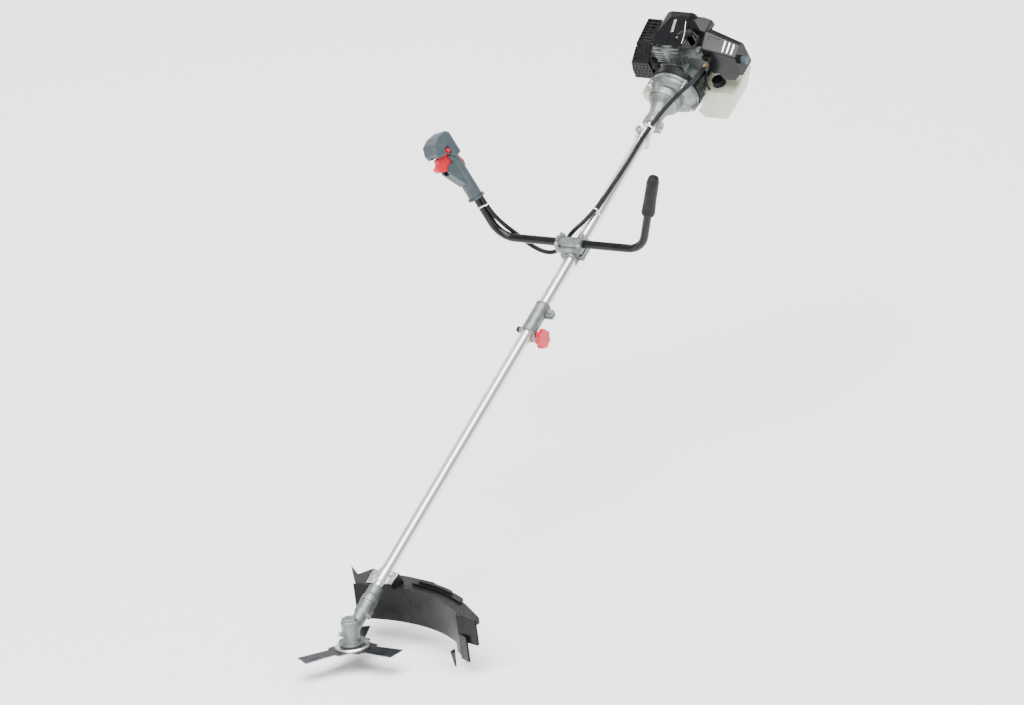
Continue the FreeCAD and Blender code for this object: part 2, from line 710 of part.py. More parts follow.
def handle_shell(inner_side):
    """One moulded half of the throttle handle."""
    body = cut_all(handle_body(), handle_cavities())
    if inner_side:
        half = handle_box(-60, 90, -20, 200, 0.1, 40)
    else:
        half = handle_box(-60, 90, -20, 200, -40, -0.1)
    body = cut_all(body, handle_screws())
    return cut_all(body.common(half), handle_pivots())


def handle_screws():
    screws = []
    for f, u, head in ((-2, 92, 13.5), (-8, 150, 18.5), (32, 150, 18.5)):
        screws.append(socket_screw(1.8, handle_point(f, u, head - 3), handle_point(f, u, -12)))
    return screws


def handle_pivots():
    """Pins that the trigger and the lock-out lever turn on."""
    front = rod(2, handle_point(12, 124, -16), handle_point(12, 124, 16))
    rear = rod(1.5, handle_point(-10, 104, -12), handle_point(-10, 104, 12))
    return [front, rear]


def throttle_trigger():
    """Finger trigger turning on the front pin."""
    body = handle_prism([(7, 119), (7, 128), (26, 131), (46, 130), (49, 120), (64, 115), (58, 103),
                         (40, 95), (30, 93), (16, 104)], 2.2, -6.5, 6.5)
    return body.cut(rod(2 + FIT, handle_point(12, 124, -10), handle_point(12, 124, 10)))


def throttle_lockout():
    """Bowed safety lever at the back of the handle."""
    outline = [(-7.5, 107), (-13, 107), (-20.5, 98), (-23.5, 88), (-22, 78), (-18.5, 74), (-17, 76),
               (-20.2, 86), (-17.5, 95), (-12, 101), (-7.5, 101)]
    body = handle_prism(outline, 0.6, -4, 4)
    return body.cut(rod(1.5 + FIT, handle_point(-10, 104, -8), handle_point(-10, 104, 8)))


def stop_switch():
    """Sliding stop button on the inner face."""
    base = handle_box(12, 20, 129, 139, 16.5, 20.5)
    button = handle_box(13, 19, 131, 137, 20, 24)
    return joined(base, button)


# ------------------------------------------------------------------ cables

CABLE_R = 5.0
LEAD_R = 3.0


def cord(points, radius, label):
    """Round cord along straight runs joined by tangent arcs as large as the runs allow."""
    edges = []
    radii = []
    last = points[0]
    for i in range(1, len(points) - 1):
        here = points[i]
        back = points[i - 1] - here
        ahead = points[i + 1] - here
        shorter = min(back.Length, ahead.Length)
        back.normalize()
        ahead.normalize()
        half = back.getAngle(ahead) / 2
        reach = 0.45 * shorter
        bend = reach * math.tan(half)
        middle = back + ahead
        middle.normalize()
        first = here + back * reach
        second = here + ahead * reach
        inner = here + middle * (bend / math.sin(half) - bend)
        edges.append(Part.LineSegment(last, first).toShape())
        edges.append(Part.Arc(first, inner, second).toShape())
        radii.append(round(bend))
        last = second
    edges.append(Part.LineSegment(last, points[-1]).toShape())
    wire = Part.Wire(edges)
    body = swept(wire, points[0], points[1] - points[0], radius)
    ideal = math.pi * radius ** 2 * wire.Length
    print(label, "length", round(wire.Length), "radii", radii, "volume ratio", round(body.Volume / ideal, 4))
    return body


def cable_route():
    """Sleeve of the throttle cable and stop wires, from the handle's foot to the carburettor."""
    return [handle_point(0, 0, 15.2), handle_point(0, -42, 15.2), V(1203, 177, 52), V(1208, 157, 17),
            V(1205, 130, -14), V(1204, 96, -31), V(1208, 64, -24), V(1219, 41, 0), V(1232, 21, 20),
            V(1256, 4, 25), V(1300, -5, 22), V(1372, -12, 21), V(1450, -14, 18), V(1520, -14, 18.5),
            V(1568, -16, 17), V(1605, -23, 19), V(1634, -42, 31), V(1660, -66, 45), V(1688, -86, 52),
            V(1714, -91, 50), V(1736, -88, 46)]


def cable_sleeve():
    return cord(cable_route(), CABLE_R, "cable_sleeve").cut(cable_adjuster())


def strap(centre, direction, half_width, radius_a, offset, radius_b):
    """Cable tie round two parallel round parts, drawn as a flat loop round both."""
    axis = V(direction)
    axis.normalize()
    outline = []
    for shift, radius in ((V(0, 0, 0), radius_a), (offset, radius_b)):
        outline.append(rod(radius + 1.2, centre + shift - axis * half_width, centre + shift + axis * half_width))
    body = outline[0].fuse(outline[1])
    cores = rod(radius_a, centre - axis * 20, centre + axis * 20)
    cores = cores.fuse(rod(radius_b, centre + offset - axis * 20, centre + offset + axis * 20))
    return body.cut(cores)


def cable_ties():
    """Three white ties: on the arm of the bar and twice along the boom."""
    foot, up, forward, side = handle_frame()
    arm_tie = strap(handle_point(0, -22), up, 1.5, BAR_R + 0.02, side * 15.2, CABLE_R + 0.1)
    ties = [arm_tie]
    for station, y, z in ((1300, -5, 21.4), (1568, -16, 17)):
        ties.append(ring(TUBE_R + 1.2, TUBE_R, station - 1.6, station + 1.6).fuse(
            ring(CABLE_R + 1.8, CABLE_R + 0.6, station - 1.6, station + 1.6, y, z)).cut(
            rod(TUBE_R, V(station - 9, 0, 0), V(station + 9, 0, 0))).cut(
            rod(CABLE_R + 0.6, V(station - 9, y, z), V(station + 9, y, z))))
    return ties


def cable_adjuster():
    """Brass barrel adjuster that the sleeve ends in, on the front of the carburettor."""
    at = V(1736, -87.6, 45.6)
    barrel = rod(5.2, at, at + V(9, 0, 0))
    lock = hex_bar(5, at + V(9, 0, 0), at + V(12, 0, 0))
    thread = rod(3, at + V(12, 0, 0), at + V(15, 0, 0))
    return joined(barrel, lock, thread)


# ------------------------------------------------------------------ engine

def flange_lugs():
    """Centres of the four screw lugs round the flange."""
    centres = []
    for angle in (40, 140, 220, 320):
        a = math.radians(angle)
        reach = FLANGE_R - 5
        centres.append(V(0, FLANGE_Y + reach * math.cos(a), reach * math.sin(a)))
    return centres


def clutch_housing():
    """Cast funnel: slotted neck round the boom, bell round the drum, flange to the fan case."""
    outer = turned([(1590, 20), (1604, 20), (1606, 18.5), (1622, 18.5), (1632, 20.5), (1645, 25), (1656, 35),
                    (1663, 38.5), (1692, 42)], V(0, 0, 0), V(1, 0, 0))
    flange = rod(FLANGE_R, V(1692, FLANGE_Y, 0), V(1700, FLANGE_Y, 0))
    belly = turned([(1676, 42), (1684, 52), (1692.5, 56)], V(0, FLANGE_Y, 0), V(1, 0, 0))
    ears = across([(1592, -30), (1592, -12), (1618, -12), (1618, -30)], 3.0, -12, 12)
    lugs = []
    for centre in flange_lugs():
        lugs.append(rod(7, centre + V(1682, 0, 0), centre + V(1700, 0, 0)))
    body = joined(outer, flange, belly, ears, *lugs)
    inside = turned([(1589, TUBE_R), (1625, TUBE_R), (1625.5, 11), (1632, 11), (1632.5, 16), (1640, 16),
                     (1657, 31), (1659, 37), (1701, 38.5)], V(0, 0, 0), V(1, 0, 0))
    slot = block(1580, 1624, -1.2, 1.2, -40, -12)
    return body.cut(inside).cut(slot)


def housing_screws():
    """Screws of the clutch bell's neck and flange."""
    screws = []
    for x in (1598, 1612):
        screws.append(socket_screw(2.5, V(x, 12, -24), V(x, -12, -24)))
    for centre in flange_lugs():
        screws.append(socket_screw(2.5, centre + V(1682, 0, 0), centre + V(1703.5, 0, 0)))
    return screws


def shaft_bearings():
    """Clutch bell bearing and the two crankshaft bearings, drawn as plain rings."""
    bell = ring(16, 8 + FIT, 1632.6, 1639.9)
    front = ring(15, 6 + FIT, 1741, 1750)
    rear = ring(15, 6 + FIT, 1778, 1787)
    return [bell, front, rear]


def clutch_rotor():
    """Centrifugal clutch: hub and two shoes inside the drum."""
    hub = rod(13, V(1667, 0, 0), V(1690, 0, 0))
    shoe_r = DRUM_R - 3.5
    shoes = rod(shoe_r, V(1668, 0, 0), V(1686, 0, 0)).cut(rod(17, V(1660, 0, 0), V(1690, 0, 0)))
    shoes = shoes.cut(block(1660, 1690, -2, 2, -40, 40))
    arms = block(1670, 1684, -18, 18, -4, 4)
    return joined(hub, arms, shoes).cut(rod(6, V(1650, 0, 0), V(1691, 0, 0)))


def crankshaft():
    """Built-up crankshaft: two full webs, with the crank pin left to the rod."""
    front = joined(rod(6, V(1667, 0, 0), V(1751, 0, 0)), rod(26, V(1750.5, 0, 0), V(1760, 0, 0)))
    rear = joined(rod(26, V(1768, 0, 0), V(1777.5, 0, 0)), rod(6, V(1777, 0, 0), V(1802, 0, 0)))
    return [front, rear]


def flywheel():
    """Flywheel with fan vanes."""
    body = rod(45, V(1704.5, 0, 0), V(1711, 0, 0))
    hub = rod(14, V(1704.5, 0, 0), V(1729, 0, 0))
    body = body.fuse(hub)
    for i in range(14):
        vane = block(1710, 1729, -1.2, 1.2, 24, 44.5)
        vane.rotate(V(0, 0, 0), V(1, 0, 0), i * 360 / 14)
        body = body.fuse(vane)
    return body.removeSplitter().cut(rod(6, V(1700, 0, 0), V(1730, 0, 0)))


def piston():
    """Piston with its rod and crank pin, which travel as one."""
    x = CYLINDER_STATION
    crown = rod(BORE_R, V(x, 0, 59), V(x, 0, 88)).cut(rod(17.5, V(x, 0, 58), V(x, 0, 83)))
    wrist = rod(4, V(x - 19, 0, 70), V(x + 19, 0, 70))
    stem = block(x - 3, x + 3, -5, 5, 16, 70)
    big_end = rod(9, V(x - 3.5, 0, 16), V(x + 3.5, 0, 16))
    small_end = rod(7, V(x - 3.5, 0, 70), V(x + 3.5, 0, 70))
    return joined(crown, wrist, stem, big_end, small_end)


def crankcase():
    """Cast crankcase with the crank chamber and the cylinder seat."""
    body = joined(rod(38.5, V(1740, 0, 0), V(1788, 0, 0)), block(1736, 1792, -30, 30, 10, 40))
    chamber = rod(29, V(1750, 0, 0), V(1778, 0, 0))
    seats = rod(15, V(1741, 0, 0), V(1787, 0, 0))
    way = rod(7, V(1730, 0, 0), V(1800, 0, 0))
    mouth = rod(22.4, V(1764, 0, 0), V(1764, 0, 41))
    feet = block(1742, 1786, -36, 36, -52, -30)
    body = joined(body, feet)
    return body.cut(chamber).cut(seats).cut(way).cut(mouth)


def cylinder():
    """Finned cylinder with its head, exhaust and inlet faces."""
    x = CYLINDER_STATION
    body = rod(25, V(x, 0, 40), V(x, 0, 91)).fuse(rod(18, V(x, 0, 91), V(x, 0, 98)))
    base = block(x - 28, x + 26, -28, 28, 40, 46)
    body = body.fuse(base)
    for i in range(FIN_COUNT):
        z = 52 + FIN_PITCH * i
        front = x - 25 if i < FIN_COUNT - 1 else x - 20
        body = body.fuse(block(front, x + 26, -32, 32, z, z + 2.4))
    exhaust = block(x - 6, x + 14, 20, 59.9, 42, 60)
    inlet = block(x - 12, x + 12, -38, -20, 40, 64)
    body = body.fuse(exhaust).fuse(inlet).removeSplitter()
    body = body.cut(rod(BORE_R + FIT, V(x, 0, 39), V(x, 0, 90)))
    plug_start, plug_way = plug_axis()
    return body.cut(rod(4, plug_start - plug_way * 6, plug_start + plug_way * 60))


def plug_axis():
    way = V(0.36, -0.87, 0.31)
    way.normalize()
    return V(1767, -11, 94), way


def spark_plug():
    """Plug: threaded nose in the head, hexagon and insulator."""
    start, way = plug_axis()
    thread = rod(4, start, start + way * 11)
    hexagon = hex_bar(7, start + way * 11, start + way * 17)
    insulator = rod(4.5, start + way * 17, start + way * 34)
    return joined(thread, hexagon, insulator)


def boot_tip():
    """End of the plug and end of the boot's tail."""
    start, way = plug_axis()
    bend = start + way * 46
    return bend, bend + V(-4, -14.5, 5.3)


def plug_boot():
    """Rubber boot over the plug's insulator."""
    start, way = plug_axis()
    bend, tail_end = boot_tip()
    body = joined(rod(8, start + way * 18, start + way * 44), Part.makeSphere(9, bend))
    return joined(body, rod(4.5, bend, tail_end)).cut(rod(4.5, start, start + way * 34))


def lead_route():
    """Ignition lead: out of the boot, round in a loop, and down to the fan case."""
    end = boot_tip()[1]
    return [end, V(1774, -78, 108), V(1760, -77, 96), V(1748, -66, 95), V(1742, -52, 102), V(1741, -42, 98),
            V(1741, -38, 90)]


def ignition_lead():
    return cord(lead_route(), LEAD_R, "ignition_lead").cut(fan_housing())


def fan_case_profile(shrink):
    """Side outline of the sloping part of the fan case, drawn in by shrink."""
    s = shrink
    return [(1700 + s, -20), (1700 + s, 38 - s / 2), (1742 + s, 97 - s), (1747 - s, 97 - s), (1733 - s, 62),
            (1733 - s, -20)]


def fan_case_outline(shrink):
    """Front outline of the sloping part: narrower at the top, bulging towards the air filter."""
    s = shrink
    return [(-74 + s, -30 + s), (-80 + s, 20), (-78 + s, 58 - s), (-58 + s, 98 - s), (20 - s, 98 - s),
            (50 - s, 66 - s), (52 - s, 0), (40 - s, -40 + s), (-50 + s, -50 + s)]


def fan_housing():
    """Black fan case between the clutch bell and the crankcase, sloping back up to the cylinder hood."""
    round_part = rod(FLANGE_R + 3, V(1700.3, FLANGE_Y, 0), V(1733, FLANGE_Y, 0))
    outer = across(fan_case_profile(0.3), 3.0, -82, 60).common(along(fan_case_outline(0), 7.0, 1695, 1760))
    core = across(fan_case_profile(3), 2.0, -90, 70).common(along(fan_case_outline(2.7), 5.0, 1695, 1734))
    rear = along(fan_case_outline(2.7), 5.0, 1722, 1748).common(block(1722, 1734, -90, 70, -60, 100))
    hollow = rod(FLANGE_R, V(1703, FLANGE_Y, 0), V(1734, FLANGE_Y, 0))
    body = joined(round_part, outer)
    body = body.cut(joined(core, rear, hollow))
    top_space = across([(1732, 50), (1732, 80), (1742, 93.6), (1760, 93.6), (1760, 50)], 2.0, -29, 40)
    return body.cut(top_space).cut(rod(39, V(1699, 0, 0), V(1706, 0, 0)))


def hood_section(shrink):
    """Front outline of the hood: flat top, long slope to the exhaust side."""
    s = shrink
    return [(-44 + s, 60), (-44 + s, 112 - s), (-36 + s, 123 - s), (4 - s, 126 - s), (30 - s, 112 - s),
            (50 - s, 92 - s), (50 - s, 60)]


def cylinder_cover():
    """Black hood over the cylinder, with a cooling slot, a low rear bridge and a plug opening."""
    outer = across([(1745, 97.4), (1752, 103), (1812, 126), (1836, 119), (1842, 97), (1842, 92), (1812, 92),
                    (1800, 97.4)], 1.5, -60, 60).common(along(hood_section(0), 5.0, 1740, 1850))
    skirt = across([(1796, 60), (1796, 112), (1836, 112), (1842, 97), (1842, 60)], 2.0, -60, 60)
    body = joined(outer, skirt.common(along(hood_section(0), 5.0, 1740, 1850)))
    bridge = across([(1798, 84), (1796, 106), (1816, 117), (1834, 110), (1838, 84)], 3.0, -84, -42)
    bridge = bridge.common(along([(-84, 80), (-84, 100), (-50, 118), (-40, 118), (-40, 80)], 3.0, 1790, 1850))
    body = joined(body, bridge)
    room = across([(1737, 50), (1737, 97), (1754, 100.5), (1812, 122.5), (1834, 116), (1839, 96), (1839, 50)],
                  2.0, -60, 60).common(along(hood_section(3), 4.0, 1730, 1850))
    bridge_room = across([(1801, 70), (1799, 104), (1816, 113.6), (1831, 108), (1835, 70)], 2.0, -81, -40)
    bridge_room = bridge_room.common(along([(-81, 60), (-81, 98), (-50, 114.5), (-38, 114.5), (-38, 60)], 2.0,
                                           1790, 1850))
    body = body.cut(room).cut(bridge_room)
    start, way = plug_axis()
    body = body.cut(rod(12, start, start + way * 60))
    slot = block(1778, 1808, -12, -4, 100, 140)
    return body.cut(slot)


def muffler():
    """Pressed steel silencer on the exhaust side."""
    body = across([(1745, 8), (1745, 44), (1776, 66), (1822, 72), (1822, 8)], 8.0, 60, 92)
    core = across([(1747, 10), (1747, 43.5), (1776, 64), (1820, 70), (1820, 10)], 6.5, 62, 90)
    pipe = rod(7, V(1808, 76, 8), V(1808, 76, 0))
    return joined(body, pipe).cut(core)


def muffler_guard():
    """Black slotted and perforated guard round the silencer; its outer wall leans in."""
    outline = [(1733, -6), (1733, 48), (1770, 76), (1838, 88), (1842, 60), (1838, -6)]
    lean = along([(57, -10), (112, -10), (110, 22), (92, 92), (57, 92)], 4.0, 1725, 1850)
    outer = across(outline, 6.0, 58, 117).common(lean)
    inner = [(1736, -3), (1736, 46), (1771, 73), (1835, 84), (1838, 58), (1835, -3)]
    inner_lean = along([(50, -12), (109, -12), (107, 21), (88.5, 92), (50, 92)], 2.0, 1725, 1850)
    body = outer.cut(across(inner, 4.0, 55, 114).common(inner_lean))
    for row in range(7):
        x = 1778 + 8.2 * row
        for y0 in (62, 80):
            body = body.cut(block(x, x + 3.8, y0, y0 + 14, 72, 100))
    for row in range(5):
        for column in range(5):
            at = V(1730, 64 + 9.5 * column + 2.5 * (row % 2), 4 + 9 * row)
            body = body.cut(rod(2.0, at, at + V(10, 0, 0)))
    slope = V(-0.6, 0, 0.8)
    for row in range(4):
        for column in range(4):
            at = V(1740 + 8 * row, 66 + 9.5 * column + 2.5 * (row % 2), 53 + 6.05 * row)
            body = body.cut(rod(2.0, at - slope * 8, at + slope * 6))
    return body


def starter_housing():
    """Round recoil starter cover at the rear, with a tower that the rope comes out of."""
    profile = [(1792, 57), (1856, 57), (1870, 48), (1876, 36)]
    body = turned(profile, V(0, 0, 0), V(1, 0, 0))
    tower = block(1844, 1860, -46, -20, 30, 62)
    body = joined(body, tower)
    body = body.cut(rod(53, V(1791, 0, 0), V(1858, 0, 0)))
    for i in range(10):
        slot = block(1866, 1880, -2, 2, 16, 40)
        slot.rotate(V(0, 0, 0), V(1, 0, 0), 18 + i * 36)
        body = body.cut(slot)
    body = body.fuse(rod(6, V(1836, 0, 0), V(1872, 0, 0)))
    body = body.cut(block(1847, 1857, -42, -24, 20, 59))
    return body.cut(rod(2.5, V(STARTER_STATION, -33, 30), V(STARTER_STATION, -33, 70)))


def starter_pulley():
    """Rope pulley of the recoil starter on its post."""
    x = STARTER_STATION
    body = turned([(x - 8, 30), (x - 4, 30), (x - 3.5, 25), (x + 3, 25), (x + 3.5, 30), (x + 5, 30)],
                  V(0, 0, 0), V(1, 0, 0))
    return body.cut(rod(6 + FIT, V(1800, 0, 0), V(1880, 0, 0)))


def starter_handle():
    """Pull grip with its short length of rope at rest."""
    x = STARTER_STATION
    rope = rod(2, V(x, -33, 59.5), V(x, -33, 66))
    grip = along([(-49, 63), (-53, 70), (-48, 78), (-18, 78), (-13, 70), (-17, 63)], 2.0, x - 6, x + 6)
    return joined(rope, grip)


def carburettor():
    """Carburettor body with its throttle shaft boss and mounting flange."""
    body = block(1750, 1786, -84, -46, 22, 62)
    spacer = block(1752, 1776, -46, -38, 40, 64)
    boss = rod(6, V(1768, -65, 62), V(1768, -65, 68))
    lug = block(1748.2, 1753, -93, -78, 39, 53)
    pump = rod(13, V(1768, -65, 22), V(1768, -65, 16))
    body = joined(body, spacer, boss, lug, pump)
    body = body.cut(rod(9.6, V(1768, -65, 15), V(1768, -65, 21)))
    return body.cut(rod(2 + FIT, V(1768, -65, 50), V(1768, -65, 70)))


def throttle_arm():
    """Lever on the carburettor's throttle shaft, pulled by the cable."""
    stem = rod(2, V(1768, -65, 52), V(1768, -65, 72))
    arm = upward([(1763, -70), (1763, -60), (1773, -60), (1780, -63), (1780, -67), (1773, -70)], 1.5, 68.3, 70.5)
    return joined(stem, arm)


def primer_bulb():
    """Clear rubber priming bulb under the carburettor."""
    return turned([(0, 8), (2, 8.5), (5, 8), (8, 5.5), (9.5, 2)], V(1768, -65, 15.7), V(0, 0, -1))


def filter_outline(shrink, inner):
    """Side outline of the filter box: taller next to the engine than at its outer end."""
    s = shrink
    if inner:
        return [(1754 + s, 8 + s), (1754 + s, 90 - s), (1792, 108 - s), (1812 - s, 98 - s), (1812 - s, 8 + s)]
    return [(1757 + s, 8 + s), (1757 + s, 66 - s), (1790, 74 - s), (1806 - s, 66 - s), (1806 - s, 8 + s)]


def filter_wedge(shrink, y_inner, y_outer):
    """Box lofted between its inner and outer outlines."""
    wires = []
    for outline, y in ((filter_outline(shrink, True), y_inner), (filter_outline(shrink, False), y_outer)):
        wires.append(rounded_face(outline, 4.0, lambda p, y=y: V(p.x, y, p.y)).OuterWire)
    return Part.makeLoft(wires, True)


def filter_base():
    """Plate behind the air filter, carrying the carburettor."""
    plate = across([(1758, 10), (1758, 86), (1792, 100), (1808, 92), (1808, 10)], 4.0, -91, -84.2)
    plate = plate.cut(rod(11, V(1770, -95, 42), V(1770, -80, 42)))
    return plate.cut(rod(2.5 + FIT, V(1750, -87.6, 66), V(1765, -87.6, 66)))


def filter_element():
    return across([(1764, 14), (1764, 66), (1790, 72), (1802, 66), (1802, 14)], 4.0, -132, -91.2)


def filter_cover():
    """Black box over the air filter, with a deep lower lip, a recess and raised bars."""
    outer = filter_wedge(0, -91.4, -168)
    lip = along([(-168, 30), (-168, 18), (-142, -10), (-112, -10), (-106, 8), (-92, 10), (-92, 30)], 3.0, 1757, 1800)
    body = joined(outer, lip)
    room = filter_wedge(3, -91, -165)
    lip_room = along([(-164, 40), (-164, 19), (-140, -7), (-114, -7), (-108, 11), (-95, 13), (-95, 40)], 2.0, 1760,
                     1797)
    body = body.cut(room).cut(lip_room)
    bars = filter_wedge(-1.2, -91.4, -168)
    for y in (-160, -150, -140):
        body = body.fuse(bars.common(block(1757, 1798, y, y + 4, 60, 120)).cut(filter_wedge(0.5, -91, -168)))
    recess = filter_wedge(0.0, -91.4, -168).cut(filter_wedge(1.4, -91, -168))
    body = body.cut(recess.common(block(1776, 1786, -126, -100, 60, 130)))
    return body.cut(rod(3 + FIT, V(1778, -180, 40), V(1778, -160, 40)))


def filter_knob():
    """Knob at the outer end that holds the filter cover."""
    stem = rod(3, V(1778, -160, 40), V(1778, -170, 40))
    head = turned([(0, 9), (3, 10), (13, 10), (15, 8)], V(1778, -168.4, 40), V(0, -1, 0))
    return joined(stem, head)


def choke_lever():
    """Choke lever on the front of the filter base."""
    stem = rod(2.5, V(1764, -87.6, 66), V(1749, -87.6, 66))
    arm = block(1749, 1751.5, -104, -85, 63, 69)
    return joined(stem, arm)


def tank_solid(shrink):
    """Saddle-shaped tank: a deep lobe on the filter side, a lower one on the exhaust side."""
    s = shrink
    outline = [(-134 + s, -40 - s), (-92 + s, -116 + s), (-80, -126 + s), (-22 - s, -126 + s),
               (-10 - s, -108 + s), (-36 - s, -76 + s), (60 + s, -76 + s), (72 + s, -100 + s), (108 - s, -100 + s),
               (124 - s, -84), (124 - s, -60 - s), (-44, -60 - s), (-56, -40 - s)]
    return along(outline, 4.5, 1742 + s, 1836 - s)


def fuel_tank():
    """Translucent blow-moulded tank, thicker lobe on the left, with its filler neck."""
    body = tank_solid(0).cut(tank_solid(2.2))
    neck = rod(11, V(1768, CAP_Y, -41.5), V(1768, CAP_Y, -34))
    body = body.fuse(neck).cut(rod(9, V(1768, CAP_Y, -50), V(1768, CAP_Y, -33)))
    bolt_pads = []
    for x in (1752, 1776):
        bolt_pads.append(block(x - 5, x + 5, -20, 20, -60.1, -52))
    return joined(body, *bolt_pads)


def fuel_cap():
    """Ribbed screw cap."""
    body = rod(15, V(1768, CAP_Y, -36), V(1768, CAP_Y, -22))
    body = body.cut(rod(11 + FIT, V(1768, CAP_Y, -37), V(1768, CAP_Y, -33.9)))
    for i in range(18):
        a = 2 * math.pi * i / 18
        at = V(1768 + 15.4 * math.cos(a), CAP_Y + 15.4 * math.sin(a), -37)
        body = body.cut(rod(1.3, at, at + V(0, 0, 16)))
    return body


def fuel_hose():
    """Fuel line from the tank's top to the carburettor."""
    route = [V(1750, -64, -40), V(1749, -63, -22), V(1751, -66, -4), V(1755, -73, 8), V(1758, -76, 22)]
    return cord(route, 2.5, "fuel_hose").cut(tank_solid(0))


def grouped(pieces):
    return Part.makeCompound(pieces)


def build():
    screws = {
        "gear_head": gear_head_screws(),
        "guard": guard_screws(),
        "bar": handlebar_screws(),
        "coupler": [coupler_screw()],
        "hanger": [hanger_screw()],
        "engine": housing_screws(),
    }
    head_bearings = gear_head_bearings()
    case_tools = screws["gear_head"] + head_bearings
    save("gear_case", cut_all(gear_case(), case_tools), upright=True)
    save("gear_case_bearings", grouped(head_bearings), upright=True)
    lower = [in_shaft(piece) for piece in screws["gear_head"]] + screws["guard"]
    save("lower_boom_screws", grouped(lower))
    save("blade_spindle", blade_spindle(), upright=True)
    save("clamp_collar", clamp_collar(), upright=True)
    save("blade", blade(), upright=True)
    save("blade_flange", blade_flange(), upright=True)
    save("blade_nut", blade_nut(), upright=True)
    guard_holes = [in_upright(screw) for screw in screws["guard"]]
    save("guard", cut_all(guard(), guard_holes), upright=True)
    save("line_knife", line_knife(), upright=True)
    save("guard_clamp", cut_all(guard_clamp(), screws["guard"]))
    save("lower_drive_shaft", lower_drive_shaft())
    save("lower_tube", lower_tube())
    save("upper_tube", upper_tube())
    save("boom_coupler", cut_all(boom_coupler(), screws["coupler"]))
    save("coupler_knob", coupler_knob())
    save("latch_pin", latch_pin())
    save("upper_drive_shaft", upper_drive_shaft())
    upper = screws["bar"] + screws["coupler"] + screws["hanger"]
    fasteners = upper + screws["engine"] + handle_pivots() + handle_screws()
    save("power_head_fasteners", grouped(fasteners))
    save("harness_hanger", cut_all(harness_hanger(), screws["hanger"]))
    save("handlebar_tube", handlebar_tube())
    save("plain_grip", plain_grip().cut(handlebar_tube()))
    halves = [cut_all(clamp_base(), screws["bar"]), cut_all(clamp_strap(), screws["bar"])]
    save("boom_clamp", grouped(halves))
    save("clamp_cap", cut_all(clamp_cap(), screws["bar"]))
    save("throttle_shell_inner", handle_shell(True))
    save("throttle_shell_outer", handle_shell(False))
    save("throttle_trigger", throttle_trigger())
    save("throttle_lockout", throttle_lockout())
    save("stop_switch", stop_switch())
    sleeve = cable_sleeve()
    bar = handlebar_tube()
    save("cable_sleeve", sleeve)
    save("cable_ties", grouped([tie.cut(sleeve).cut(bar) for tie in cable_ties()]))
    save("cable_adjuster", cable_adjuster())
    bearings = shaft_bearings()
    save("clutch_housing", cut_all(clutch_housing(), screws["engine"]))
    save("shaft_bearings", grouped(bearings))
    save("clutch_rotor", clutch_rotor())
    save("crankshaft", grouped(crankshaft()))
    save("flywheel", flywheel())
    save("piston", piston())
    save("crankcase", crankcase())
    save("cylinder", cylinder().cut(spark_plug()))
    save("cylinder_cover", cylinder_cover())
    save("spark_plug", spark_plug())
    save("ignition_lead", grouped([plug_boot(), ignition_lead()]))
    save("fan_housing", cut_all(fan_housing(), screws["engine"]))
    save("muffler", muffler())
    save("muffler_guard", muffler_guard())
    save("starter_housing", starter_housing())
    save("starter_pulley", starter_pulley())
    save("starter_handle", starter_handle())
    save("carburettor", cut_all(carburettor(), [cable_adjuster(), fuel_hose()]))
    save("throttle_arm", throttle_arm())
    save("primer_bulb", primer_bulb())
    save("filter_base", filter_base())
    save("filter_element", filter_element())
    save("filter_cover", filter_cover())
    save("filter_knob", filter_knob())
    save("choke_lever", choke_lever())
    save("fuel_tank", fuel_tank())
    save("fuel_cap", fuel_cap())
    save("fuel_hose", fuel_hose())


os.makedirs("parts", exist_ok=True)
build()
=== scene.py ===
import json
import math

import bmesh
import bpy
from mathutils import Matrix, Vector


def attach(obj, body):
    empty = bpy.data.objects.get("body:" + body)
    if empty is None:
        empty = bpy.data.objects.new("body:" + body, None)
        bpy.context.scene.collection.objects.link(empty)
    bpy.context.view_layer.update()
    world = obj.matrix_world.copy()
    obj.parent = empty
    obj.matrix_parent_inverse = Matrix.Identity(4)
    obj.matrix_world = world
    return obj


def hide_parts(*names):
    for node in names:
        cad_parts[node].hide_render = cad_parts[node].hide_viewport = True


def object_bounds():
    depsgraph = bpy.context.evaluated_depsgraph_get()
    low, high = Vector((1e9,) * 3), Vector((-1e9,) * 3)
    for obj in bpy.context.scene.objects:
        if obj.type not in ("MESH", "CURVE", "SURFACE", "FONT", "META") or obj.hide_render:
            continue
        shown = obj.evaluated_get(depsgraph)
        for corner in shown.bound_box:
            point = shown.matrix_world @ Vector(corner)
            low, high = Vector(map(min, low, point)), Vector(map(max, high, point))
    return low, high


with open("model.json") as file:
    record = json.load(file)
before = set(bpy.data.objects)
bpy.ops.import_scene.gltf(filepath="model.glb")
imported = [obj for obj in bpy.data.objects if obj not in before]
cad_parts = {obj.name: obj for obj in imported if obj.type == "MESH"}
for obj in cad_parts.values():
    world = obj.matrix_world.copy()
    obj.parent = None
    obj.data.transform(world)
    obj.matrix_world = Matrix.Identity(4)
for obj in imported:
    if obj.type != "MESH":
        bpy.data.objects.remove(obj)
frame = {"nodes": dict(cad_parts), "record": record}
cad_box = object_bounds()
nodes = frame["nodes"]
record = frame["record"]
slot_of = {part["node"]: part["material_slot"] for part in record["subparts"]}
body_of = {n: body for body, names in record["behaviour"]["bodies"].items() for n in names}

BOOM_RISE = math.radians(25.0)
PIXEL = 0.00225             # metres across one pixel of a 1024-pixel picture
GEAR_CENTRE = Vector((-1.391554, 0.0, -0.678683))
MID_DEPTH = 0.49            # metres from the gear centre to the object's middle, along the view
ALONG = Vector((math.cos(BOOM_RISE), 0.0, math.sin(BOOM_RISE)))
SQUARE = Vector((-math.sin(BOOM_RISE), 0.0, math.cos(BOOM_RISE)))


